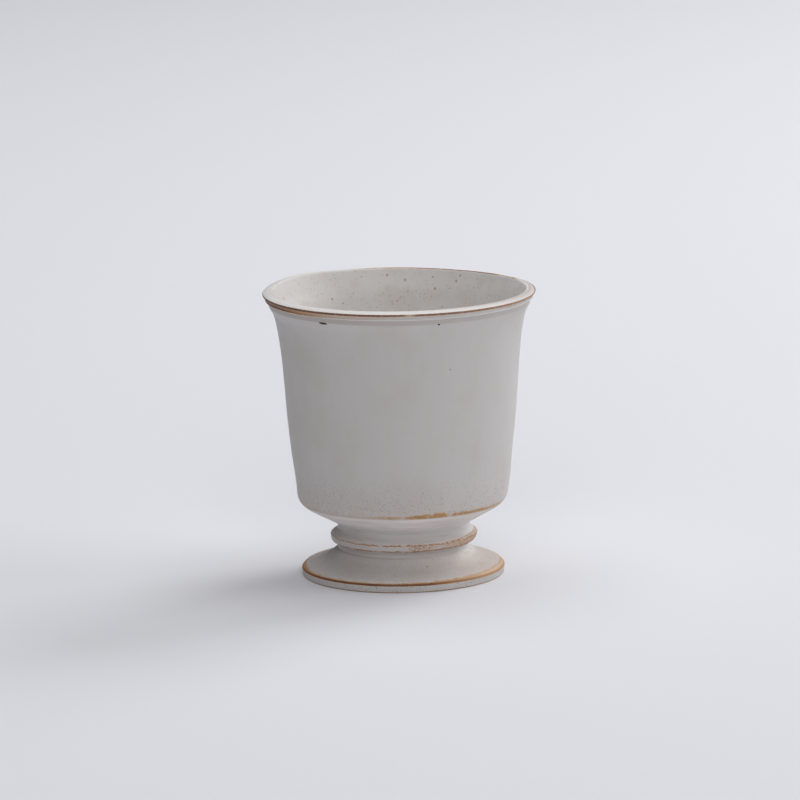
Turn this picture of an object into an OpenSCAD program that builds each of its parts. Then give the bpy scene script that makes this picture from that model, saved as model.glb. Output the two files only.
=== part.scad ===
// A turned stoneware goblet in one piece: a flared bowl on a waisted stem with a
// banded collar and a spreading foot that is hollowed from below.
// The origin is the centre of the foot's resting ring, with +Z up the axis.

/* [Lip] */
// Radius of the lip at its outer arris, the widest circle of the goblet
lip_r = 40.3; // [34:0.1:48]
// Width of the lip's upper face, from the outer arris in to the inner edge
lip_w = 2.95; // [2.2:0.05:3.6]
// Height of the lip's inner edge, the top of the goblet, above its outer arris
lip_rise = 0.9; // [0.5:0.05:1.3]
// Height by which the upper face is domed between those two edges
lip_dome = 0.1; // [0.02:0.02:0.2]
// Rounding of the inner edge
lip_round = 1.2; // [0.4:0.1:1.5]
// Height of the hollowed band, from the arris down to the fine cord under it
lip_band_h = 1.7; // [1.2:0.1:2.4]
// Depth of the band's hollow
lip_band_d = 0.45; // [0.1:0.01:0.6]
// Height of the cord's upper side
cord_h = 0.4; // [0.25:0.05:0.6]
// Height of the cord's lower side
cord_under_h = 0.4; // [0.25:0.05:0.6]
// How far the cord stands proud of the brim
cord_proud = 0.12; // [0:0.01:0.3]
// Height of the turned line, from the cord down to where it runs out
line_h = 1.9; // [1.4:0.1:2.6]
// Depth of the turned line, close under the cord
line_d = 0.4; // [0.1:0.01:0.6]

/* [Bowl] */
// Wall of the bowl, measured level
wall_t = 2.8; // [2:0.1:4]
// Radius of the bowl at its heel, where the wall turns under
heel_r = 30.75; // [26:0.05:34]
// Rounding of the heel
heel_round = 5; // [1.5:0.1:5]
// Height of the lower wall, from the heel to the belly
belly_h = 23.2; // [18:0.1:30]
// How far the lower wall leans out over that height
belly_lean = 2.73; // [1.5:0.01:4]
// Height of the upper wall, from the belly to where the flare starts
upper_h = 23.2; // [18:0.1:30]
// How far the upper wall leans out over that height
upper_lean = 1.57; // [0.8:0.01:2.6]
// Height of the gentle start of the flare
flare_h = 9.2; // [7:0.1:12]
// How far the gentle start of the flare leans out
flare_lean = 1.55; // [0.8:0.01:2.4]
// Height of the last, steep part of the flare, up to the arris of the lip
brim_h = 6.5; // [5:0.1:8]
// Depth from the heel down to the middle of the bowl's floor
floor_drop = 1.6; // [0:0.1:3]
// Rounding between the floor and the wall inside
floor_round = 12; // [6:0.5:16]
// Height by which the floor rises from its middle to its edge
floor_dish = 0.8; // [0.2:0.1:1.6]

/* [Stem] */
// Height of the undercut cone, from the waist up to the heel
undercut_h = 6.2; // [4.5:0.1:8]
// Radius of the stem at the waist above the collar
waist_r = 19.45; // [16:0.05:23]
// Height of the waist, from the collar's upper slope to the undercut
waist_h = 1.7; // [1:0.1:2.6]
// Rounding of the waist
waist_round = 2; // [0.8:0.1:3]
// Height of the collar's upper slope
collar_top_h = 1.75; // [1:0.05:2.6]
// How far the collar stands proud of the waist
collar_proud = 2.3; // [1.2:0.1:3.4]
// Height of the band between the collar's two arrises
collar_band_h = 1.9; // [1.2:0.05:2.6]
// How far the collar's lower arris stands back from the upper one
collar_taper = 0.6; // [0.2:0.05:1.4]
// Height of the collar's lower slope
collar_under_h = 1.05; // [0.7:0.05:1.8]
// How far the stem under the collar stands back from the lower arris
collar_back = 1.85; // [1:0.05:2.4]
// Rounding of the collar's two arrises
collar_round = 0.7; // [0.2:0.05:1]
// Height of the stem between the collar and the foot
neck_h = 1.25; // [0.8:0.1:2.4]

/* [Foot] */
// Radius of the foot at its upper arris
foot_r = 29.9; // [25:0.1:36]
// Height of the foot's upright edge
foot_edge_h = 2.25; // [1.4:0.05:3.2]
// How far the upright edge draws in towards the ground
foot_edge_taper = 0.25; // [0:0.05:0.8]
// Height of the rounded brow above the upright edge
foot_brow_h = 1.05; // [0.8:0.05:1.8]
// Width of the rounded brow
foot_brow_w = 1.05; // [0.8:0.05:2.2]
// Width of the flatter outer part of the foot's upper face
foot_apron_w = 5.6; // [3:0.1:6]
// Rise of that outer part
foot_apron_h = 1.55; // [1:0.05:2.6]
// Rise of the steeper inner part, up to the stem
foot_sweep_h = 3.15; // [2:0.05:4]

/* [Recess under the foot] */
// Width of the resting ring, with the rounded corners beside it
ring_w = 5; // [3.5:0.1:7]
// Wall of the hollowed stem
stem_t = 4.7; // [3.5:0.1:6]
// Thickness from the recess up to the middle of the bowl's floor
floor_t = 5; // [3.5:0.1:7]
// Height of the splayed mouth of the recess, up to the hollow of the stem
splay_h = 5; // [3.5:0.1:7]
// Rounding of the recess at its top
recess_round = 3; // [1:0.1:5]

/* [Fine edges] */
// Rounding of a crisp glazed arris
arris_round = 0.35; // [0.15:0.05:0.6]
// Rounding of the resting ring's corners
ring_round = 0.6; // [0.3:0.05:1]

/* [Smoothness] */
// Steps round the axis in a preview
around = 180; // [48:4:360]

/* [Hidden] */

// Most degrees that one step of a rounding turns
turn_step = 6;
// Rounding radii of the long, almost straight curves of the wall and the foot
belly_sweep = 300;
flare_sweep = 120;
brim_sweep = 17;
apron_sweep = 15;
dome_sweep = 12;
// Share of a straight stretch that the rounding at one end of it may take
rounding_share = 0.49;

// Heights, stacked from the ground up
brow_z = foot_edge_h + foot_brow_h;
apron_z = brow_z + foot_apron_h;
neck_z = apron_z + foot_sweep_h;
collar_z = neck_z + neck_h;
band_z = collar_z + collar_under_h;
band_top_z = band_z + collar_band_h;
waist_z = band_top_z + collar_top_h;
undercut_z = waist_z + waist_h;
heel_z = undercut_z + undercut_h;
belly_z = heel_z + belly_h;
flare_z = belly_z + upper_h;
brim_z = flare_z + flare_h;
arris_z = brim_z + brim_h;
top_z = arris_z + lip_rise;
floor_z = heel_z - floor_drop;
recess_z = floor_z - floor_t;

// Radii that follow from others
collar_r = waist_r + collar_proud;
band_r = collar_r - collar_taper;
neck_r = band_r - collar_back;
belly_r = heel_r + belly_lean;
flare_r = belly_r + upper_lean;
brim_r = flare_r + flare_lean;
brow_r = foot_r - foot_brow_w;
apron_r = brow_r - foot_apron_w;
ring_r = foot_r - foot_edge_taper;
recess_mouth_r = ring_r - ring_w;
recess_r = neck_r - stem_t;

// The outer face of the brim is straight: its radius at a height above brim_z
function brim_at(z) = brim_r + (lip_r - brim_r) * (z - brim_z) / brim_h;
line_top_z = arris_z - lip_band_h;
hollow_z = line_top_z + cord_h;
line_deep_z = line_top_z - cord_under_h;
line_low_z = line_top_z - line_h;

// A corner is [radius from the axis, height, rounding]
outer_corners = [
    [ring_r, 0, arris_round],
    [foot_r, foot_edge_h, arris_round],
    [brow_r, brow_z, foot_brow_w],
    [apron_r, apron_z, apron_sweep],
    [neck_r, neck_z, arris_round],
    [neck_r, collar_z, neck_h],
    [band_r, band_z, collar_round],
    [collar_r, band_top_z, collar_round],
    [waist_r, waist_z, collar_top_h],
    [waist_r, undercut_z, waist_round],
    [heel_r, heel_z, heel_round],
    [belly_r, belly_z, belly_sweep],
    [flare_r, flare_z, flare_sweep],
    [brim_r, brim_z, brim_sweep],
    [brim_at(line_low_z), line_low_z, brim_sweep],
    [brim_at(line_deep_z) - line_d, line_deep_z, cord_under_h],
    [brim_at(line_top_z) + cord_proud, line_top_z, arris_round],
    [brim_at(hollow_z) - lip_band_d, hollow_z, cord_h],
    [lip_r, arris_z, arris_round],
    [lip_r - lip_w / 2, arris_z + lip_rise / 2 + lip_dome, dome_sweep],
    [lip_r - lip_w, top_z, lip_round]
];

inner_corners = [
    [brim_r - wall_t, brim_z, brim_sweep],
    [flare_r - wall_t, flare_z, flare_sweep],
    [belly_r - wall_t, belly_z, belly_sweep],
    [heel_r - wall_t, floor_z + floor_dish, floor_round],
    [0, floor_z, 0]
];

recess_corners = [
    [0, recess_z, 0],
    [recess_r, recess_z, recess_round],
    [recess_r, splay_h, splay_h],
    [recess_mouth_r, 0, ring_round]
];

function xy(p) = [p[0], p[1]];

// The points of the arc that rounds corner b on the way from a to c.
// Its radius is kept small enough for the straight stretches beside it.
function rounded(a, b, c) =
    let (
        to_a = (xy(a) - xy(b)) / norm(xy(a) - xy(b)),
        to_c = (xy(c) - xy(b)) / norm(xy(c) - xy(b)),
        half = acos(max(-1, min(1, to_a * to_c))) / 2,
        room = rounding_share * min(norm(xy(a) - xy(b)), norm(xy(c) - xy(b))),
        tangent = min(b[2] / tan(half), room),
        radius = tangent * tan(half),
        middle = xy(b) + (to_a + to_c) / norm(to_a + to_c) * radius / sin(half),
        start = xy(b) + to_a * tangent - middle,
        side = sign(to_a[0] * to_c[1] - to_a[1] * to_c[0]),
        turn = 180 - 2 * half,
        steps = max(2, ceil(turn / turn_step))
    )
    [for (i = [0:steps])
        let (angle = -side * turn * i / steps)
        middle + [
            start[0] * cos(angle) - start[1] * sin(angle),
            start[0] * sin(angle) + start[1] * cos(angle)
        ]
    ];

// An outline with each corner of a list rounded; a corner with no rounding stays sharp
function outline(corners) =
    let (n = len(corners))
    [for (i = [0:n - 1])
        let (b = corners[i])
        each b[2] > 0
            ? rounded(corners[(i + n - 1) % n], b, corners[(i + 1) % n])
            : [xy(b)]
    ];

// Half of the goblet's upright section, from the resting ring up the outside,
// over the lip, down the inside, and back through the recess under the foot
module section() {
    polygon(outline(concat(outer_corners, inner_corners, recess_corners)));
}

module goblet() {
    color("gainsboro")
        rotate_extrude($fn = around)
            section();
}

goblet();
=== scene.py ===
# %% [markdown]
# A goblet thrown on a potter's wheel. The clay is a brown stoneware, and the glaze
# over it is a satin off-white that turns thin and brown wherever the form has an edge.
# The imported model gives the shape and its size. This script spins the same section
# again with finer steps, adds what a hand and a kiln leave behind, and finishes it.

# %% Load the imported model
import math

import bmesh
import bpy
from mathutils import Matrix, Vector, noise


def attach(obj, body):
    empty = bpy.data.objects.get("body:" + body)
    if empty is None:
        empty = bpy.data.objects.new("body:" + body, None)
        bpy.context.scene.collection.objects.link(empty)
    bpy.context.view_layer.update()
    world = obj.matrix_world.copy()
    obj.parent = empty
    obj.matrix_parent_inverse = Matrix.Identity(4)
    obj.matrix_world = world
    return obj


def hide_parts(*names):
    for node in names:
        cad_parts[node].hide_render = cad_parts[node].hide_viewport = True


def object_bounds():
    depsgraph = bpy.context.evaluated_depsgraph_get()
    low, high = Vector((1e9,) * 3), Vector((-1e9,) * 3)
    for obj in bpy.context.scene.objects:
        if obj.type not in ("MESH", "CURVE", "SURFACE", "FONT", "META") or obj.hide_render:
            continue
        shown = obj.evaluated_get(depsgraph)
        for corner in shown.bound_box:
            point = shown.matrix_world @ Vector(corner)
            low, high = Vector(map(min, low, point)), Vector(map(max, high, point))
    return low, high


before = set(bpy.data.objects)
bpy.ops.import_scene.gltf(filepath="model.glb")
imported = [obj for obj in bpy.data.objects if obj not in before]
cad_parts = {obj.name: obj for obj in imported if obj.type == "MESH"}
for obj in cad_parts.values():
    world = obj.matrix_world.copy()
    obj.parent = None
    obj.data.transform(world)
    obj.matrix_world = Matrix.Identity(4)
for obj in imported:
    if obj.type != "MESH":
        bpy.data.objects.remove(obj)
cad_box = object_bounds()
MM = 0.001
cad_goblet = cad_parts["goblet"]
cad_size = Vector(cad_box[1]) - Vector(cad_box[0])
print("goblet of the packed model:", [round(length / MM, 1) for length in cad_size], "mm")

# %% [markdown]
# The photograph looks slightly down on the goblet from about two metres away, through
# a long lens, so the lip and the foot are almost equally wide ellipses. The same view
# needs a camera at that distance, because a nearer one would open the lip too far.

# %% Camera
FRAME_SIDE_PX = 800
FOCAL_PX = 6802
SENSOR_MM = 36.0
VIEW_DISTANCE = 2.0
VIEW_ELEVATION = math.radians(11.05)
VIEW_HEIGHT = 45.35 * MM
CAMERA_PITCH = math.radians(0.1752)
CAMERA_YAW = math.radians(0.0042)
CAMERA_ROLL = math.radians(-1.003)
CLIP = 0.1, 20

aim = Vector((0, 0, VIEW_HEIGHT))
back_off = Vector((0, -math.cos(VIEW_ELEVATION), math.sin(VIEW_ELEVATION)))
camera_place = aim + VIEW_DISTANCE * back_off
looking = (-back_off).to_track_quat("-Z", "Y").to_matrix().to_4x4()
nudge = (
    Matrix.Rotation(CAMERA_YAW, 4, "Y")
    @ Matrix.Rotation(CAMERA_PITCH, 4, "X")
    @ Matrix.Rotation(CAMERA_ROLL, 4, "Z")
)

lens = bpy.data.cameras.new("camera")
lens.sensor_width = SENSOR_MM
lens.lens = SENSOR_MM * FOCAL_PX / FRAME_SIDE_PX
lens.clip_start, lens.clip_end = CLIP
camera = bpy.data.objects.new("camera", lens)
camera.matrix_world = Matrix.Translation(camera_place) @ looking @ nudge
bpy.context.scene.collection.objects.link(camera)
bpy.context.scene.camera = camera
print("camera at", [round(c, 3) for c in camera_place], "with a lens of", round(lens.lens), "mm")

# %% [markdown]
# The floor is one pale sheet that runs far past the view on every side. It also works
# as a reflector: the light that it throws up is what keeps the undercut of the bowl
# bright.

# %% Floor
FLOOR_HALF = 3.0
FLOOR_COLOUR = (0.80, 0.81, 0.86, 1)
FLOOR_ROUGHNESS = 0.9

sheet = bmesh.new()
bmesh.ops.create_grid(sheet, x_segments=1, y_segments=1, size=FLOOR_HALF)
floor_mesh = bpy.data.meshes.new("floor")
sheet.to_mesh(floor_mesh)
sheet.free()
floor = bpy.data.objects.new("floor", floor_mesh)
bpy.context.scene.collection.objects.link(floor)

floor_paint = bpy.data.materials.new("floor_paint")
floor_paint.use_nodes = True
floor_sockets = floor_paint.node_tree.nodes["Principled BSDF"].inputs
floor_sockets["Base Color"].default_value = FLOOR_COLOUR
floor_sockets["Roughness"].default_value = FLOOR_ROUGHNESS
floor_mesh.materials.append(floor_paint)
print("floor:", 2 * FLOOR_HALF, "m square")

# %% [markdown]
# The light is soft and comes from above and from the right, as under a skylight with a
# window beside it. The left of the goblet and the side towards the camera get about
# half of it, and that is what makes the bowl look round. A weak, slightly warm fill
# from behind the camera keeps the shaded side readable.

# %% Light
SKY_COLOUR = (0.95, 0.97, 1, 1)
SKY_STRENGTH = 0.03
FILL_COLOUR = (1, 0.97, 0.95)


def softbox(name, size, power, place, aim_at, colour=(1, 1, 1)):
    """A square area light of a size in metres, turned towards a point."""
    light = bpy.data.lights.new(name, "AREA")
    light.shape = "SQUARE"
    light.size = size
    light.energy = power
    light.color = colour
    lamp = bpy.data.objects.new(name, light)
    facing = (Vector(aim_at) - Vector(place)).to_track_quat("-Z", "Y")
    lamp.matrix_world = Matrix.Translation(place) @ facing.to_matrix().to_4x4()
    bpy.context.scene.collection.objects.link(lamp)


softbox("skylight", 2.2, 27, (0, 0.4, 2.0), (0, 0.3, 0))
softbox("far_window", 1.2, 25, (1.5, 1.5, 1.3), (0, 0.2, 0))
softbox("near_window", 1.2, 10, (1.8, 0, 0.9), (0, 0.1, 0))
softbox("fill", 1.4, 18, (0, -2.4, 1.3), (0, 0, 0), colour=FILL_COLOUR)

sky = bpy.data.worlds.new("room")
sky.use_nodes = True
sky_sockets = sky.node_tree.nodes["Background"].inputs
sky_sockets["Color"].default_value = SKY_COLOUR
sky_sockets["Strength"].default_value = SKY_STRENGTH
bpy.context.scene.world = sky
bpy.context.scene.view_settings.view_transform = "Standard"

# %% [markdown]
# A potter thinks of a thrown form as a section: the outline that appears when the pot
# is sawn through the middle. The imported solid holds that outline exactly, so a copy of
# it is cut by two planes, and only the cut itself is kept, on the right of the axis.
# Typing the outline in again would work too, but then the two could drift apart.

# %% Cut the section out of a copy of the solid
MERGE = 0.001 * MM

section = bmesh.new()
section.from_mesh(cad_goblet.data)
bmesh.ops.remove_doubles(section, verts=section.verts, dist=MERGE)
bmesh.ops.bisect_plane(
    section, geom=section.verts[:] + section.edges[:] + section.faces[:], dist=MERGE / 10,
    plane_co=(0, 0, 0), plane_no=(0, 1, 0), clear_inner=True, clear_outer=True,
)
bmesh.ops.bisect_plane(
    section, geom=section.verts[:] + section.edges[:], dist=MERGE / 10,
    plane_co=(0, 0, 0), plane_no=(1, 0, 0), clear_inner=True,
)
bmesh.ops.remove_doubles(section, verts=section.verts, dist=MERGE)
print("section:", len(section.verts), "points,", len(section.edges), "edges")

# %% [markdown]
# The cut is one long wire. Walking along it from the middle of the bowl's floor, up the
# wall, over the lip, down the outside and in under the foot tells inside from outside,
# which the finish needs later: the glaze pools and spots differently in the bowl. The
# walk is kept on the points themselves, in a layer that spinning copies along.

# %% Walk along the section
OUTSIDE, INSIDE, UNDERNEATH = 0.0, 1.0, 2.0
ON_THE_GROUND = 0.01 * MM

side_layer = section.verts.layers.float.new("side")


def next_along(vert, came_from):
    """The next point of the wire, or None at its end."""
    for edge in vert.link_edges:
        other = edge.other_vert(vert)
        if other is not came_from:
            return other
    return None


ends = [vert for vert in section.verts if len(vert.link_edges) == 1]
bowl_floor = max(ends, key=lambda vert: vert.co.z)
walk = [bowl_floor]
came_from = None
while (onward := next_along(walk[-1], came_from)) is not None:
    came_from = walk[-1]
    walk.append(onward)

floor_height = bowl_floor.co.z
crown = walk.index(max(walk, key=lambda vert: vert.co.z))
resting = [vert.co.z < ON_THE_GROUND for vert in walk].index(True)
for number, vert in enumerate(walk):
    vert[side_layer] = INSIDE if number <= crown else OUTSIDE if number < resting else UNDERNEATH
print("ends:", len(ends), " walked:", len(walk), "points")
print("crown at", round(walk[crown].co.z / MM, 2), "mm")

# %% [markdown]
# The outline has short steps round its tight corners and long ones along the wall. The
# shortest are merged and the long ones divided, finely on the outside wherever there
# are edges and a collar. After that the plain stretches are relaxed, so that the small
# angles left in them by the steps of the solid disappear.

# %% Divide and relax the section
SHORTEST_EDGE = 0.11 * MM
FINE_EDGE = 0.42 * MM
PLAIN_EDGE = 2.4 * MM
WALL_LOW, WALL_HIGH = 25 * MM, 78 * MM
RELAX_PASSES = 12


def longest_allowed(edge):
    """The length that an edge of the section may keep."""
    middle = (edge.verts[0].co + edge.verts[1].co) / 2
    outside = edge.verts[0][side_layer] == OUTSIDE
    plain = WALL_LOW < middle.z < WALL_HIGH or not outside
    return PLAIN_EDGE if plain else FINE_EDGE


def is_plain(vert):
    """Whether a point lies on a wall or the bowl's floor, away from every edge."""
    if len(vert.link_edges) != 2 or vert[side_layer] == UNDERNEATH:
        return False
    low = floor_height if vert[side_layer] == INSIDE else WALL_LOW
    return low <= vert.co.z < WALL_HIGH


bmesh.ops.remove_doubles(section, verts=section.verts, dist=SHORTEST_EDGE)
for edge in section.edges[:]:
    cuts = math.ceil(edge.calc_length() / longest_allowed(edge)) - 1
    if cuts > 0:
        bmesh.ops.subdivide_edges(section, edges=[edge], cuts=cuts)
plain = [vert for vert in section.verts if is_plain(vert)]
for _ in range(RELAX_PASSES):
    bmesh.ops.smooth_vert(section, verts=plain, factor=0.5, use_axis_x=True, use_axis_z=True)
print("divided section:", len(section.verts), "points, of which", len(plain), "relaxed")

# %% [markdown]
# Spinning the section is what the wheel does. The last row is merged with the first,
# and the points on the axis, which the spin makes once for every step, are merged into
# one pole inside the bowl and one under the foot, so the skin is closed.

# %% Spin the section
SPIN_STEPS = 320

goblet_form = section
bmesh.ops.spin(
    goblet_form, geom=section.verts[:] + section.edges[:], cent=(0, 0, 0), axis=(0, 0, 1),
    angle=math.tau, steps=SPIN_STEPS, use_merge=True, use_duplicate=False,
)
bmesh.ops.remove_doubles(goblet_form, verts=goblet_form.verts, dist=MERGE)
bmesh.ops.recalc_face_normals(goblet_form, faces=goblet_form.faces)
triangles = sum(len(face.verts) - 2 for face in goblet_form.faces)
open_edges = [edge for edge in goblet_form.edges if not edge.is_manifold]
print("spun:", triangles, "triangles,", len(open_edges), "open edges, volume",
      round(goblet_form.calc_volume() / MM ** 3 / 1000, 1), "ml of clay")

# %% [markdown]
# No thrown pot is a perfect solid of revolution. The bowl and the stem of this one sit a
# fraction of a millimetre to the right of its foot, the lip rises at the back on the left
# and dips at the back on the right, and the wall has the faint swells that a potter's
# fingers leave. Between its two edges the collar is lumpy, where the glaze has crawled
# over torn clay. Each of these is a small move of the points. Where each point lay on the
# perfect form, in millimetres, is kept in a layer, so that the finish can find an edge by
# its true radius and height.

# %% What throwing and firing leave in the form
BOWL_SHIFT_MM, BOWL_MIDDLE_MM, BOWL_SPREAD_MM = 0.30, 58, 25
HEEL_SHIFT_MM, HEEL_MIDDLE_MM, HEEL_SPREAD_MM = 0.24, 28.5, 5.5
STEM_SHIFT_MM, STEM_MIDDLE_MM, STEM_SPREAD_MM = 0.42, 14, 5
LIP_WAVE_FROM_MM, LIP_WAVE_TO_MM = 55, 83
LIP_MEAN_MM = 0.08
LIP_HIGH_MM, LIP_HIGH_TURN, LIP_HIGH_SPREAD = 0.62, math.radians(-126), math.radians(22)
LIP_LOW_MM, LIP_LOW_TURN, LIP_LOW_SPREAD = 0.46, math.radians(148), math.radians(34)
SWELL_MM, SWELL_SIZE_MM = 0.07, 22
RIPPLE_MM, RIPPLE_SIZE_MM = 0.025, 5
LUMP_MM, LUMP_SIZE_MM = 0.16, 1.1
COLLAR_RADIUS_MM, COLLAR_HEIGHT_MM, COLLAR_REACH_MM = 21.3, 11.25, 1.3
OFF_AXIS_MM = 1, 12
OFF_GROUND_MM = 1, 6


def smooth_rise(value, low, high):
    """0 below low, 1 above high, and a smooth rise between the two."""
    share = min(1, max(0, (value - low) / (high - low)))
    return share * share * (3 - 2 * share)


def bell(value, middle, spread):
    """1 at the middle, falling off to nothing on both sides of it."""
    return math.exp(-((value - middle) / spread) ** 2)


def turned_by(turn, middle):
    """The angle between two turns about the axis, the short way round."""
    return math.remainder(turn - middle, math.tau)


def lip_wave(turn):
    """How far the lip stands above the perfect form at a turn about the axis, in mm."""
    high = LIP_HIGH_MM * bell(turned_by(turn, LIP_HIGH_TURN), 0, LIP_HIGH_SPREAD)
    low = LIP_LOW_MM * bell(turned_by(turn, LIP_LOW_TURN), 0, LIP_LOW_SPREAD)
    return LIP_MEAN_MM + high - low


def by_hand(place_mm):
    """Where a point of the perfect form lies on the real goblet, in mm."""
    radius = place_mm.xy.length
    outward = Vector((place_mm.x, place_mm.y, 0)) / max(radius, 0.001)
    turn = math.atan2(place_mm.x, -place_mm.y)
    away = math.hypot(radius - COLLAR_RADIUS_MM, place_mm.z - COLLAR_HEIGHT_MM)
    swell = SWELL_MM * noise.noise(place_mm / SWELL_SIZE_MM)
    ripple = RIPPLE_MM * noise.noise(place_mm / RIPPLE_SIZE_MM)
    lump = LUMP_MM * noise.noise(place_mm / LUMP_SIZE_MM) * bell(away, 0, COLLAR_REACH_MM)
    off_axis = smooth_rise(radius, *OFF_AXIS_MM)
    off_ground = smooth_rise(place_mm.z, *OFF_GROUND_MM)
    push = (swell + ripple) * off_axis * off_ground + lump
    bowl_shift = BOWL_SHIFT_MM * bell(place_mm.z, BOWL_MIDDLE_MM, BOWL_SPREAD_MM)
    heel_shift = HEEL_SHIFT_MM * bell(place_mm.z, HEEL_MIDDLE_MM, HEEL_SPREAD_MM)
    stem_shift = STEM_SHIFT_MM * bell(place_mm.z, STEM_MIDDLE_MM, STEM_SPREAD_MM)
    rise = lip_wave(turn) * smooth_rise(place_mm.z, LIP_WAVE_FROM_MM, LIP_WAVE_TO_MM)
    shift = bowl_shift + heel_shift + stem_shift
    return place_mm + outward * push + Vector((shift, 0, rise))


wheel_layer = goblet_form.verts.layers.float_vector.new("wheel_place")
for vert in goblet_form.verts:
    vert[wheel_layer] = vert.co / MM
    vert.co = by_hand(vert.co / MM) * MM
for face in goblet_form.faces:
    face.smooth = True

goblet_mesh = bpy.data.meshes.new("goblet_thrown")
goblet_form.to_mesh(goblet_mesh)
goblet_form.free()
goblet_mesh.attributes.remove(goblet_mesh.attributes["custom_normal"])
goblet = bpy.data.objects.new("goblet_thrown", goblet_mesh)
bpy.context.scene.collection.objects.link(goblet)
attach(goblet, "root")
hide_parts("goblet")
print("moved", len(goblet_mesh.vertices), "points")
print("layers:", [layer.name for layer in goblet_mesh.attributes])

# %% [markdown]
# A finish in Blender is a graph of nodes, and most of its nodes are plain arithmetic.
# Wrapping a socket in a small class lets that arithmetic be written as ordinary Python:
# 1 - mask adds a Math node that subtracts. All other nodes come from one method, which
# takes the kind of node, what its sockets get, and its settings.

# %% Shader arithmetic
class Value:
    """A node's socket that takes part in Python arithmetic."""

    def __init__(self, finish, socket):
        self.finish = finish
        self.socket = socket

    def combine(self, operation, first, second):
        """Adds a Math node for two values."""
        return self.finish.node("Math", {0: first, 1: second}, operation=operation)

    def __add__(self, other):
        return self.combine("ADD", self, other)

    def __radd__(self, other):
        return self.combine("ADD", other, self)

    def __sub__(self, other):
        return self.combine("SUBTRACT", self, other)

    def __rsub__(self, other):
        return self.combine("SUBTRACT", other, self)

    def __mul__(self, other):
        return self.combine("MULTIPLY", self, other)

    def __rmul__(self, other):
        return self.combine("MULTIPLY", other, self)

    def __truediv__(self, other):
        return self.combine("DIVIDE", self, other)

    def __pow__(self, other):
        return self.combine("POWER", self, other)

    def at_most(self, other):
        return self.combine("MINIMUM", self, other)

    def at_least(self, other):
        return self.combine("MAXIMUM", self, other)


class Finish:
    """A material that is put together in code."""

    def __init__(self, name):
        self.material = bpy.data.materials.new(name)
        self.material.use_nodes = True
        self.tree = self.material.node_tree
        self.shader = self.tree.nodes["Principled BSDF"]

    def node(self, kind, sockets, output=0, stops=(), **settings):
        """Adds a node, with its settings and a ramp's stops first, and returns one output."""
        added = self.tree.nodes.new("ShaderNode" + kind)
        for name, value in settings.items():
            setattr(added, name, value)
        for number, (position, colour) in enumerate(stops):
            elements = added.color_ramp.elements
            stop = elements[number] if number < 2 else elements.new(position)
            stop.position = position
            stop.color = colour
        for name, value in sockets.items():
            self.feed(added.inputs[name], value)
        return Value(self, added.outputs[output])

    def feed(self, socket, value):
        """Links a value that varies, or sets one that doesn't."""
        if isinstance(value, Value):
            self.tree.links.new(value.socket, socket)
        else:
            socket.default_value = value


def linear(red, green, blue):
    """A colour as it looks on a screen, 0 to 255, turned into the light that it stands for."""
    shares = [channel / 255 for channel in (red, green, blue)]
    light = [c / 12.92 if c <= 0.04045 else ((c + 0.055) / 1.055) ** 2.4 for c in shares]
    return (*light, 1)


print("half as bright on a screen is this much light:", round(linear(128, 128, 128)[0], 3))

# %% [markdown]
# Everything in the glaze is placed by where a point lies on the perfect form: how far it
# is from the axis, how high it is, and its turn, which is the angle about the axis,
# counted in degrees from the front to the right. Lengths are in millimetres from here on.

# %% Where a point lies
glaze = Finish("satin_glaze")
place = glaze.node("Attribute", {}, output="Vector", attribute_name="wheel_place")
side = glaze.node("Attribute", {}, output="Fac", attribute_name="side")
x, y, z = [glaze.node("SeparateXYZ", {0: place}, output=axis) for axis in "XYZ"]
radius = ((x * x + y * y) ** 0.5).at_least(0.001)
turn = glaze.node("Math", {0: x, 1: 0 - y}, operation="ARCTAN2") * math.degrees(1)
lap = turn / 360 + 0.5
mm_per_degree = radius * math.radians(1)
print("places read, nodes so far:", len(glaze.tree.nodes))

# %% [markdown]
# Masks are numbers from 0 to 1, and a few small tools make them: a smooth ramp, a band
# between two values, a strength that changes with the turn, a cloud of noise, and the
# strongest of several masks. The first two masks tell the inside of the bowl from the
# outside of the goblet, by the layer that the walk along the section wrote.

# %% Tools that make masks
def ramp(value, low, high):
    """0 at low, 1 at high, and a smooth rise between them; low may be above high."""
    ends = {"Value": value, "From Min": low, "From Max": high}
    return glaze.node("MapRange", ends, interpolation_type="SMOOTHSTEP")


def between(value, low, high, soft):
    """1 from low to high, fading to 0 over a soft stretch beyond each end."""
    return ramp(value, low - soft, low) * ramp(value, high + soft, high)


def around(*strengths):
    """A strength that follows the turn, from pairs of a turn and a strength, in order."""
    stops = [((at + 180) / 360, (strength, strength, strength, 1)) for at, strength in strengths]
    return glaze.node("ValToRGB", {0: lap}, stops=[stops[0], stops[-1], *stops[1:-1]])


def cloud(size, detail=2.0, grain=0.5, stretch=(1, 1, 1)):
    """Noise from 0 to 1 with features of a size, stretched along each axis by its share."""
    scale = tuple(1 / (size * along) for along in stretch)
    scaled = glaze.node("VectorMath", {0: place, 1: scale}, operation="MULTIPLY")
    look = {"Vector": scaled, "Scale": 1.0, "Detail": detail, "Roughness": grain}
    return glaze.node("TexNoise", look)


def strongest(mask, *others):
    """The greatest of several masks."""
    for other in others:
        mask = mask.at_least(other)
    return mask


SIDE_REACH, SIDE_SOFT = 0.4, 0.2
inside = between(side, INSIDE - SIDE_REACH, INSIDE + SIDE_REACH, SIDE_SOFT)
outside = ramp(side, OUTSIDE + SIDE_REACH + SIDE_SOFT, OUTSIDE + SIDE_REACH)
print("masks ready, nodes so far:", len(glaze.tree.nodes))

# %% [markdown]
# Some noise is shared by every edge, so that things that lie side by side break in the
# same places: two wanders that bend an edge, grains, and breaks. The ragged place is the
# place pushed about by noise. A round spot that is measured in it gets a ragged edge.

# %% Shared noise
CRUMPLE_SIZE = 0.5
CRUMPLE_PUSH = 0.9

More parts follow.
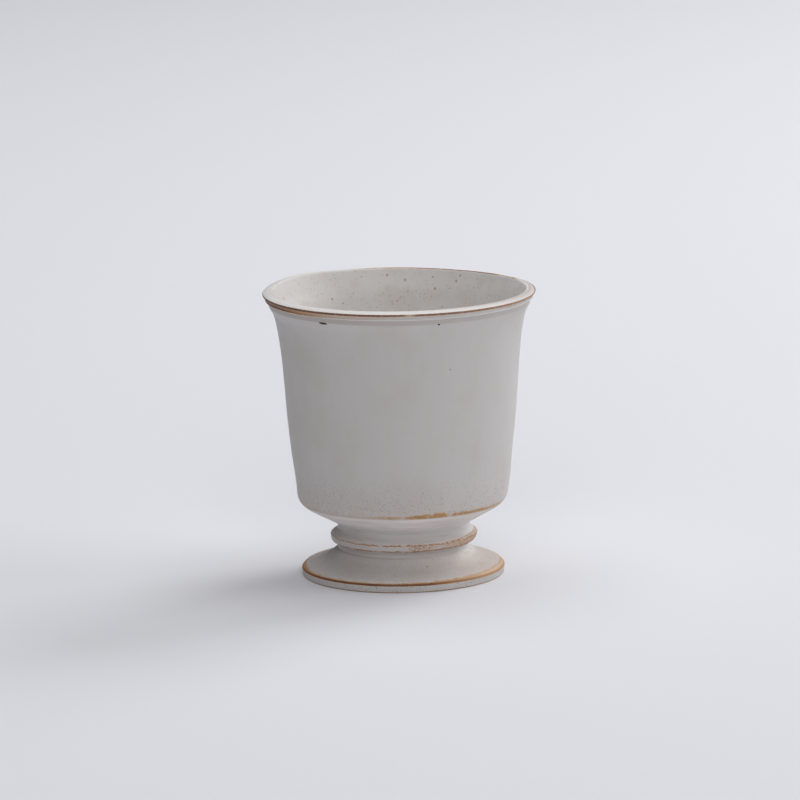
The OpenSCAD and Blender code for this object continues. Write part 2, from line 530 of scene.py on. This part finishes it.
fine_wander = cloud(0.6, detail=3) - 0.5
wide_wander = cloud(2.4, detail=3) - 0.5
grains = ramp(cloud(0.45, detail=3), 0.42, 0.60)
breaks = ramp(cloud(1.1, detail=3), 0.36, 0.50)

shrunk = glaze.node("VectorMath", {0: place, "Scale": 1 / CRUMPLE_SIZE}, operation="SCALE")
push = glaze.node("TexNoise", {"Vector": shrunk, "Scale": 1.0}, output="Color")
centred = glaze.node("VectorMath", {0: push, 1: (0.5, 0.5, 0.5)}, operation="SUBTRACT")
pushed = {0: centred, 1: (CRUMPLE_PUSH, CRUMPLE_PUSH, CRUMPLE_PUSH), 2: place}
ragged = glaze.node("VectorMath", pushed, operation="MULTIPLY_ADD")
print("noise ready, nodes so far:", len(glaze.tree.nodes))

# %% [markdown]
# Iron spots come in two kinds. Specks are scattered by chance in the cells of a loose
# grid. Blots are single marks, each put at its own turn and height.

# %% Tools that make spots
def specks(cell, size, share):
    """Ragged spots of a size, in a share of the cells of a loose grid."""
    scaled = glaze.node("VectorMath", {0: ragged, "Scale": 1 / cell}, operation="SCALE")
    spot = {"Vector": scaled, "Scale": 1.0}
    away = glaze.node("TexVoronoi", spot, output="Distance") * cell
    chance = glaze.node("SeparateColor", {0: glaze.node("TexVoronoi", spot, output="Color")})
    chosen = ramp(chance, share, share - 0.02)
    return chosen * ramp(away, size, 0.5 * size)


def blot(at, height, half_length, half_height, rise=0.0):
    """One oval mark at a turn and a height; it may rise to the right."""
    along = (turn - at) * mm_per_degree
    above = z - height - rise * along
    off = ((along / half_length) ** 2 + (above / half_height) ** 2) ** 0.5
    return ramp(off + 0.5 * fine_wander, 1.15, 0.8)


def blots(*marks):
    """Several blots, each from a turn, a height, a half length and a half height."""
    return strongest(*[blot(*mark) for mark in marks])


print("spot tools ready, nodes so far:", len(glaze.tree.nodes))

# %% [markdown]
# The glaze is white where it lies thick. Over an edge it is pulled thin in the kiln and
# the iron of the clay comes through: first oat, then ochre, then umber, and iron brown
# on the sharpest arrises. Each edge is drawn as a thinness between 0 and 1. Its strength
# follows the turn, as on a goblet that was dipped aslant: the brown is heavy on the left
# of the lip and spreads wide on the right of the foot.
#
# The lip has a dark line on its arris, an ochre band under it that is heavy on the left,
# a few crumbs, and a thin line on its inner edge that shows best at the back.

# %% The lip
LIP_LINE_LOW, LIP_LINE_HIGH = 83.45, 83.98
LIP_BAND_LOW, LIP_BAND_HIGH = 82.65, 83.5
LIP_CRUMBS_LOW, LIP_CRUMBS_HIGH = 82.9, 83.5
INNER_EDGE = 84.48
LIP_SOFT = 0.12

lip_heavy = around(
    (-180, 0.8), (-70, 1.0), (-30, 0.95), (1, 0.85), (3, 0.3), (5.5, 0.35), (7, 0.8),
    (50, 0.68), (88, 0.65), (96, 0.8), (117, 0.8), (121, 0.3), (180, 0.8),
)
over_arris = around((-180, 0), (76, 0), (92, 0.22), (116, 0.30), (121, 0), (180, 0))
lip_line = between(z - over_arris + 0.25 * fine_wander, LIP_LINE_LOW, LIP_LINE_HIGH, 0.1)
lip_line = lip_line * outside * lip_heavy * (0.75 + 0.25 * breaks)

band_heavy = around(
    (-180, 0.5), (-95, 0.66), (-66, 0.78), (-56, 0.66), (-46, 0.42), (-30, 0.25), (0, 0.13),
    (28, 0.09), (48, 0.03), (90, 0.05), (120, 0.2), (180, 0.5),
)
band_drop = around((-180, 0.15), (-110, 0.35), (-40, 0.35), (-5, 0), (130, 0), (180, 0.15))
band_low = ramp(z + band_drop + 0.3 * fine_wander, LIP_BAND_LOW - LIP_SOFT, LIP_BAND_LOW)
band_high = ramp(z, LIP_BAND_HIGH + LIP_SOFT, LIP_BAND_HIGH)
lip_band = band_low * band_high * outside * band_heavy

crumbs_heavy = around((-180, 0), (44, 0), (50, 0.3), (58, 0.3), (64, 0), (180, 0))
lip_crumbs = between(z, LIP_CRUMBS_LOW, LIP_CRUMBS_HIGH, 0.1) * outside * grains * crumbs_heavy

inner_heavy = around(
    (-180, 0.6), (-165, 0.3), (-150, 0), (-40, 0.05), (-25, 0.14), (50, 0.14), (60, 0),
    (106, 0), (114, 0.25), (115.5, 0.7), (118, 0.25), (127, 0.35), (131, 0.8), (152, 0.9),
    (167, 0.7), (180, 0.6),
)
inner_line = ramp(z, INNER_EDGE, INNER_EDGE + LIP_SOFT) * inner_heavy * (0.6 + 0.4 * breaks)
lip = strongest(lip_line, lip_band, lip_crumbs, inner_line)
print("lip drawn, nodes so far:", len(glaze.tree.nodes))

# %% [markdown]
# The wall turns under at the heel. The line there is golden and broken: crisp below,
# where the undercut starts, and crumbling upwards into the grainy foot of the wall.

# %% The heel
HEEL_CORNER = 21.8
HEEL_LOW, HEEL_HIGH = 21.95, 22.5
GRAIN_TOP, GRAIN_FULL = 36, 23
TAN_TOP, TAN_FULL = 25, 22.8

heel_heavy = around(
    (-180, 0.42), (-120, 0.42), (-45, 0.17), (-22, 0.20), (-14, 0.30), (-8, 0.36), (0, 0.26),
    (6, 0.50), (24, 0.44), (27, 0.12), (29, 0.44), (50, 0.40), (62, 0.33), (80, 0.16),
    (110, 0.36), (180, 0.42),
)
heel_thick = around(
    (-180, 0.5), (-90, 0.4), (-20, 0), (2, 0.1), (6, 0.2), (10, 0.9), (23, 0.9), (27, 0.1),
    (50, 0.2), (62, 0.1), (110, 0.3), (180, 0.5),
)
crumble = 1.2 * fine_wander + (0.4 + 1.4 * heel_thick) * wide_wander - 0.16 - 0.5 * heel_thick
heel_below = ramp(z + 0.3 * fine_wander, HEEL_LOW - 0.15, HEEL_LOW + 0.15)
heel_above = ramp(z + crumble, HEEL_HIGH + 0.7, HEEL_HIGH - 0.1)
heel_line = heel_below * heel_above * outside * heel_heavy * (0.7 + 0.3 * breaks)

on_wall = ramp(z, HEEL_CORNER, HEEL_CORNER + 0.4) * outside
heel_grain = 0.17 * grains * ramp(z, GRAIN_TOP, GRAIN_FULL) * on_wall
heel_tan = ramp(z + 2.0 * wide_wander, TAN_TOP, TAN_FULL) * on_wall
heel_tan = heel_tan * heel_thick * (0.08 + 0.12 * grains)
heel = strongest(heel_line, heel_grain, heel_tan)
print("heel drawn, nodes so far:", len(glaze.tree.nodes))

# %% [markdown]
# The collar has two arrises, drawn as two thin grainy lines that wander. On the right of
# the front the clay between them is torn into crumbs, and further right the whole band
# is thin and tan.

# %% The collar
UPPER_LINE, LOWER_LINE = 12.15, 10.4
LINE_HALF = 0.13
LINE_SOFT = 0.16
STEM_RADIUS = 19.5

wobble = 1.1 * wide_wander + 0.5 * fine_wander
line_heavy = around(
    (-180, 0.35), (-75, 0.25), (-50, 0.45), (0, 0.55), (30, 0.55), (60, 0.62), (95, 0.6),
    (180, 0.35),
)
upper_line = between(z + wobble, UPPER_LINE - LINE_HALF, UPPER_LINE + LINE_HALF, LINE_SOFT)
lower_line = between(z - 0.8 * wobble, LOWER_LINE - LINE_HALF, LOWER_LINE + LINE_HALF, LINE_SOFT)
collar_lines = strongest(upper_line, 1.15 * lower_line) * line_heavy * (0.35 + 0.65 * breaks)

tan_rise = around((-180, 0), (30, 0), (60, 0.45), (90, 0.8), (130, 0.2), (180, 0))
band_place = z - tan_rise * ramp(z, 11, 12) + 0.4 * fine_wander
collar_band = between(band_place, LOWER_LINE - 0.1, UPPER_LINE + 0.2, 0.2)
crumbs = around(
    (-180, 0.1), (-60, 0), (2, 0), (6, 0.6), (21, 0.55), (27, 0.2), (100, 0.1), (180, 0.1),
)
tan = around(
    (-180, 0.1), (-120, 0), (26, 0), (34, 0.34), (50, 0.40), (95, 0.40), (130, 0.12), (180, 0.1),
)
collar_patch = collar_band * strongest(crumbs * grains, tan * (0.5 + 0.5 * grains))
off_stem = ramp(radius, STEM_RADIUS, STEM_RADIUS + 0.7)
collar = strongest(collar_lines, collar_patch) * outside * off_stem
print("collar drawn, nodes so far:", len(glaze.tree.nodes))

# %% [markdown]
# The foot's arris carries the richest brown. Below it the upright edge stays grey, and
# above it an orange fringe creeps over the brow, widest on the right. The last thin line
# is where the glaze ends, just above the ground.

# %% The foot
ARRIS_LOW, ARRIS_HIGH = 2.08, 2.58
FOOT_RADIUS = 29.9
FRINGE_LOW = 2.2
GLAZE_END = 0.16
FOOT_TOP, STEM_LOW = 5, 6

arris_heavy = around(
    (-180, 0.8), (-95, 0.6), (-70, 0.8), (-20, 0.95), (15, 0.92), (28, 0.68), (45, 0.6),
    (70, 0.55), (95, 0.5), (180, 0.8),
)
foot_line = between(z + 0.25 * fine_wander, ARRIS_LOW, ARRIS_HIGH, 0.1) * arris_heavy

fringe_reach = around(
    (-180, 0.35), (-100, 0.7), (-80, 0.6), (-65, 0.25), (0, 0.22), (25, 0.36), (42, 0.55),
    (60, 0.75), (95, 0.8), (130, 0.4), (180, 0.35),
)
fringe_heavy = around(
    (-180, 0.4), (-90, 0.4), (-50, 0.35), (0, 0.4), (30, 0.42), (60, 0.36), (100, 0.36), (180, 0.4),
)
inward = FOOT_RADIUS - radius + 0.8 * wide_wander + 0.5 * fine_wander
fringe = ramp(z, FRINGE_LOW, FRINGE_LOW + 0.15) * ramp(inward - 1.6 * fringe_reach, 0.6, 0)
fringe = fringe * fringe_heavy * (0.8 + 0.2 * grains)
last_line = 0.52 * ramp(z + 0.2 * fine_wander, GLAZE_END + 0.2, GLAZE_END)
foot = strongest(foot_line, fringe, last_line) * outside * ramp(z, STEM_LOW, FOOT_TOP)
print("foot drawn, nodes so far:", len(glaze.tree.nodes))

# %% [markdown]
# Iron in the clay also bleeds through as specks. Most are under half a millimetre. There
# are most of them inside the bowl, then near the heel and on the foot, and few on the
# upper wall. At the back inside the bowl they crowd together in one patch.

# %% Scattered specks
EDGE_TOP = 2.3
CROWD_HALF_WIDTH, CROWD_HEIGHT, CROWD_HALF_HEIGHT = 12, 75, 5

near_heel = ramp(z, 37, 24) * ramp(z, HEEL_CORNER, HEEL_CORNER + 0.6) * outside
on_foot = ramp(z, 9, 6) * outside
on_edge = ramp(z, EDGE_TOP, EDGE_TOP - 0.3) * outside
small_share = (0.18 + 0.6 * inside + 0.8 * near_heel + 0.6 * on_foot).at_most(1)
pepper_share = (0.05 + on_edge + 0.9 * near_heel + 0.5 * on_foot).at_most(1)
large_share = (0.06 + 0.9 * inside + 0.15 * near_heel + 0.15 * on_foot).at_most(1)
small_specks = specks(1.2, 0.22, 0.45) * small_share
pepper = specks(0.62, 0.20, 0.50) * pepper_share
large_specks = specks(3.0, 0.34, 0.45) * large_share

from_back = (180 - (turn * turn) ** 0.5) / CROWD_HALF_WIDTH
from_middle = (z - CROWD_HEIGHT) / CROWD_HALF_HEIGHT
crowd = ramp(from_back ** 2 + from_middle ** 2 + 2.0 * wide_wander, 1.2, 0)
freckles = specks(1.15, 0.36, 0.65) * strongest(ramp(cloud(9), 0.42, 0.60), crowd) * inside
print("specks scattered, nodes so far:", len(glaze.tree.nodes))

# %% [markdown]
# A few marks are large enough to be known by their place, and those are set one by one.
# The longest is a dark dash under the lip, on the left of the front.

# %% Marks set one by one
dash = blot(-35.3, 80.35, 1.42, 0.35, rise=-0.04)
dark_marks = strongest(
    dash, blot(17.2, 80.4, 0.38, 0.30), 0.6 * blot(24, 66.4, 0.25, 0.22),
    0.5 * blot(18.2, 5.9, 0.3, 0.2),
) * outside
inner_spots = blots(
    (151.5, 81.7, 0.35, 0.4), (150, 83.3, 0.32, 0.4), (162, 79.1, 0.38, 0.45),
    (-174.5, 82.7, 0.35, 0.4), (177, 81.3, 0.35, 0.45), (-105, 80.5, 0.35, 0.5),
    (-144, 76.8, 0.35, 0.4),
) * inside
foot_stain = blots((66, 7.0, 2.6, 0.35), (80, 7.4, 1.6, 0.3)) * outside
wall_stain = blots((32, 56.1, 0.8, 0.5), (-4.5, 37, 0.5, 4), (58.5, 37, 0.6, 8)) * outside
print("marks set, nodes so far:", len(glaze.tree.nodes))

# %% [markdown]
# Now the colours, as they look on a screen. The first eight are shades of the glaze's white,
# five of them lighter or greyer copies for painted light and shade. The next seven are its
# browns, dull ones for the lip and the collar and golden ones for the heel and the foot.
# The last four are for spots and for bare clay.

# %% Colours of the glaze
MILK = linear(206, 203, 201)
MILK_WARM = linear(196, 189, 184)
INSIDE_LIT_WHITE = linear(221, 219, 217)
PAINTED_LIGHT_WHITE = linear(243, 241, 241)
PAINTED_SHADE_GREY = linear(176, 164, 158)
COVE_LIT_WHITE = linear(241, 233, 230)
FOOT_LIT_ROSE = linear(217, 205, 199)
MILK_BLUSH = linear(202, 184, 176)
OAT = linear(213, 192, 170)
OCHRE = linear(184, 142, 104)
UMBER = linear(142, 102, 74)
IRON = linear(104, 72, 52)
GOLD = linear(184, 138, 82)
AMBER = linear(150, 98, 56)
DARK_AMBER = linear(112, 64, 34)
SPECK = linear(112, 82, 66)
RUST = linear(168, 122, 92)
SOOT = linear(48, 33, 27)
CLAY = linear(132, 98, 74)


def paint(under, over, amount):
    """Lays one colour over another by an amount from 0 to 1."""
    return glaze.node("Mix", {0: amount, 6: under, 7: over}, output=2, data_type="RGBA")


print("milk white as light:", [round(c, 3) for c in MILK])

# %% [markdown]
# The white itself isn't even: broad warm and cool patches a few per cent apart keep it
# from looking like plastic. Inside the bowl the white is painted lighter, as painted light:
# less at the left and the back left, more below the lip and near the rim on the right. It
# is also faintly clouded with rust.

# %% The white of the wall and the bowl
UNDER_LIP_LOW, UNDER_LIP_HIGH = 77, 80.5
RIGHT_LIGHT_LOW, RIGHT_LIGHT_HIGH = 79, 83.5

milk = MILK
warm = 0.4 * ramp(cloud(18, detail=3), 0.4, 0.7)
streaks = 0.12 * ramp(cloud(3.0, detail=3, stretch=(1, 1, 6)), 0.45, 0.75)
milk = paint(milk, MILK_WARM, warm + streaks)

# Painted light: the inside is painted lighter than the wall, less so at the left and the back.
grey = around((-180, 0.1), (-150, 0.6), (-110, 1), (-60, 1), (-25, 0.2), (0, 0), (180, 0.1))
grey = grey * (0.4 + 0.6 * ramp(z, UNDER_LIP_LOW, UNDER_LIP_HIGH))
milk = paint(milk, INSIDE_LIT_WHITE, inside * (1 - 0.7 * grey))

# Painted light: the inside is whiter still below the lip, at the left and the right, and near the
# rim on the right.
inside_light = around(
    (-180, 0), (-150, 0), (-135, 0.3), (-95, 0.5), (-80, 0), (60, 0.1), (85, 0.5), (100, 0.4),
    (118, 0.26), (140, 0.08), (160, 0), (180, 0),
)
inside_light = inside_light * strongest(ramp(z, UNDER_LIP_HIGH, UNDER_LIP_LOW), ramp(turn, 0, 60))
at_right = around((-180, 0), (70, 0), (88, 1), (106, 1), (122, 0.1), (180, 0))
inside_light = (inside_light + 0.6 * at_right * ramp(z, RIGHT_LIGHT_LOW, RIGHT_LIGHT_HIGH)).at_most(1)
milk = paint(milk, PAINTED_LIGHT_WHITE, inside_light * inside)

clouding = ramp(cloud(5.0, detail=4, grain=0.6), 0.46, 0.66) * inside * (0.6 + 0.8 * grains)
rusty = 0.10 * clouding + 0.12 * crowd * inside
milk = paint(milk, RUST, strongest(rusty, (0.32 + 0.3 * crowd) * freckles))
print("bowl painted, nodes so far:", len(glaze.tree.nodes))

# %% [markdown]
# The upper face of the foot is mottled, and it is painted lighter and rosier on the right,
# as painted light. The cove under the bowl is painted whitest, as painted light from below,
# and the hollows above and below the collar are painted whiter where they face right.

# %% The white of the foot and the stem
EDGE_TO_FACE = 2.4, 3.0
COVE_LOW, COVE_TOP = 15.2, 21.9
BELOW_COLLAR = 7.0, 9.0
ABOVE_COLLAR = 13.0, 17.0

above_edge = ramp(z, *EDGE_TO_FACE) * outside
# Painted light: the foot's upper face is lighter and rosier on the right.
foot_light_right = around((-180, 0), (10, 0), (60, 0.6), (100, 0.6), (180, 0))
milk = paint(milk, FOOT_LIT_ROSE, above_edge * ramp(z, 8, 6) * foot_light_right)
mottled = ramp(cloud(2.6, detail=4, grain=0.6), 0.44, 0.66) * ramp(z, 9, 7.5) * above_edge
milk = paint(milk, MILK_BLUSH, mottled * (0.12 + 0.30 * grains))

# Painted light: the cove under the bowl is painted whitest, as if lit from below.
cove_light = around(
    (-180, 0.8), (-40, 1), (8, 1), (30, 0.62), (60, 0.45), (100, 0.6), (180, 0.8),
)
in_cove = ramp(z, COVE_LOW, COVE_LOW + 3.4) * ramp(z, COVE_TOP, COVE_TOP - 0.4) * outside
milk = paint(milk, COVE_LIT_WHITE, in_cove * cove_light)

below_collar = between(z, *BELOW_COLLAR, 1.2)
above_collar = between(z, *ABOVE_COLLAR, 1.4)
in_hollows = strongest(0.6 * below_collar, above_collar) * outside
# Painted light: the hollows above and below the collar are whiter where they face right.
hollows_light = around(
    (-180, 0.1), (-30, 0.15), (35, 0.2), (52, 0.3), (75, 0.8), (110, 0.6), (180, 0.1),
)
milk = paint(milk, PAINTED_LIGHT_WHITE, in_hollows * hollows_light)
print("foot painted, nodes so far:", len(glaze.tree.nodes))

# %% [markdown]
# On the lip the sloping face and the fine cord are painted whiter, as painted highlights.
# The turned line under the cord and the face's inner edge at the right are painted greyer,
# as painted shade, and so are the corners above and below the collar.

# %% Painted highlights on the lip, and painted shade in the hollows
CORD = 82.1, 82.4
TURNED_LINE = 80.7, 81.95
LIP_FACE = 84.0
FACE_INNER = 84.25
NECK = 7.9, 9.4
WAIST = 13.2, 15.4

# Painted highlights: the lip's sloping face and the fine cord are whiter.
face_highlight = around(
    (-180, 0.4), (-120, 0.6), (-60, 0.9), (0, 0.8), (45, 0.45), (70, 0.1), (120, 0.1), (180, 0.4),
)
on_lip_face = ramp(z, LIP_FACE, LIP_FACE + 0.12) * outside
on_cord = between(z, *CORD, 0.12) * outside
milk = paint(milk, PAINTED_LIGHT_WHITE, strongest(face_highlight * on_lip_face, 0.45 * on_cord))

# Painted shade: the inner edge of the lip's face is greyer at the right.
face_edge_shade = around((-180, 0), (22, 0), (50, 0.22), (80, 0.42), (110, 0.45), (130, 0), (180, 0))
milk = paint(milk, PAINTED_SHADE_GREY, ramp(z, FACE_INNER, FACE_INNER + 0.35) * outside * face_edge_shade)

# Painted shade: the turned line under the cord is greyer, standing for its shadow.
turned_line_strength = around(
    (-180, 0.5), (-60, 0.8), (-30, 0.8), (0, 0.6), (50, 0.45), (90, 0.3), (180, 0.5),
)
shade_in_turned_line = between(z, *TURNED_LINE, 0.35) * outside * turned_line_strength
# Painted shade: the corners above and below the collar are greyer.
in_neck = between(z, *NECK, 0.3) * outside
in_waist = between(z, *WAIST, 0.7) * outside
not_at_right = strongest(ramp(turn, 66, 48), ramp(turn, 110, 130))
shade_in_corners = strongest(0.36 * in_neck, 0.12 * in_waist) * not_at_right
milk = paint(milk, PAINTED_SHADE_GREY, strongest(shade_in_corners, 0.85 * shade_in_turned_line))
print("lip painted, nodes so far:", len(glaze.tree.nodes))

# %% [markdown]
# Wet fingers leave faint lines that run round the stem and two stronger strokes on the left
# of the waist. A dark line in the corner where the stem meets the foot is painted shade.

# %% Lines left by fingers, and painted shade in a corner
FINGERED = 12.9, 21.6
STEM_CORNER = 8.0

finger_lines = ramp(cloud(0.5, detail=2, stretch=(16, 16, 1)), 0.50, 0.72)
finger_lines = finger_lines * between(z, *FINGERED, 0.3) * outside
strokes = strongest(
    blot(-43, 15.15, 2.4, 0.10, rise=-0.05), blot(-47, 15.75, 2.0, 0.10, rise=-0.05),
)
# Painted shade: a dark line in the corner where the stem meets the foot.
stem_corner_strength = around(
    (-180, 0.2), (-55, 0.5), (-30, 0.4), (0, 0.15), (20, 0), (120, 0), (180, 0.2),
)
stem_corner_shade = between(z, STEM_CORNER - 0.1, STEM_CORNER + 0.1, 0.14) * outside * stem_corner_strength
# The finger lines and strokes are marks in the glaze; the corner line among them is painted shade.
finger_marks_and_corner_shade = strongest(0.40 * finger_lines, 0.5 * strokes, stem_corner_shade)
milk = paint(milk, UMBER, 0.45 * finger_marks_and_corner_shade)
print("lines drawn, nodes so far:", len(glaze.tree.nodes))

# %% [markdown]
# The browns go over the white by how thin the glaze is, and the spots go over both. The
# foot rests on a ring that was wiped clean of glaze, so there the bare brown clay shows.

# %% Lay the colours over one another
RICH_BELOW = 8
RICH_HEEL_LOW, RICH_HEEL_HIGH = 19, 30
THIN_ENOUGH = 0.42
RING_FADE = 0.45, 0.25


def browns(first, second, third, last):
    """The brown of the glaze by its thinness."""
    stops = [(0.0, first), (1.0, last), (0.45, second), (0.75, third)]
    return glaze.node("ValToRGB", {0: thinness}, stops=stops)


thinness = strongest(lip, heel, collar, foot, 0.16 * foot_stain, 0.05 * wall_stain)
dull_brown = browns(OAT, OCHRE, UMBER, IRON)
rich_brown = browns(OAT, GOLD, AMBER, DARK_AMBER)
near_rich_heel = between(z, RICH_HEEL_LOW, RICH_HEEL_HIGH, 2)
is_rich = strongest(ramp(z, RICH_BELOW + 1, RICH_BELOW), near_rich_heel)
brown = paint(dull_brown, rich_brown, is_rich)
colour = paint(milk, brown, ramp(thinness, 0, THIN_ENOUGH))

colour = paint(colour, RUST, strongest(0.75 * large_specks, 0.65 * inner_spots))
colour = paint(colour, SPECK, strongest(0.60 * small_specks, 0.60 * pepper))
colour = paint(colour, SOOT, dark_marks)
underneath = ramp(side, UNDERNEATH - SIDE_REACH - SIDE_SOFT, UNDERNEATH - SIDE_REACH)
resting_ring = underneath * ramp(z, *RING_FADE)
colour = paint(colour, CLAY, resting_ring)
print("colours laid, nodes so far:", len(glaze.tree.nodes))

# %% [markdown]
# The glaze is satin, a little rougher where its pores are and rough on the bare clay. Its
# relief is a few hundredths of a millimetre: pores, a soft orange peel, a dip at each
# large speck, and a slight fall where the glaze is thin.

# %% Roughness and relief
pores = cloud(0.30, detail=3)
orange_peel = cloud(1.6, detail=2)
relief = 0.018 * pores + 0.04 * orange_peel - 0.05 * large_specks - 0.03 * thinness
bump = glaze.node("Bump", {"Height": relief, "Distance": MM, "Strength": 1.0}, output="Normal")

glaze.feed(glaze.shader.inputs["Base Color"], colour)
glaze.feed(glaze.shader.inputs["Roughness"], 0.50 + 0.12 * pores + 0.2 * resting_ring)
glaze.feed(glaze.shader.inputs["Normal"], bump)
goblet_mesh.materials.append(glaze.material)
print("the glaze has", len(glaze.tree.nodes), "nodes")
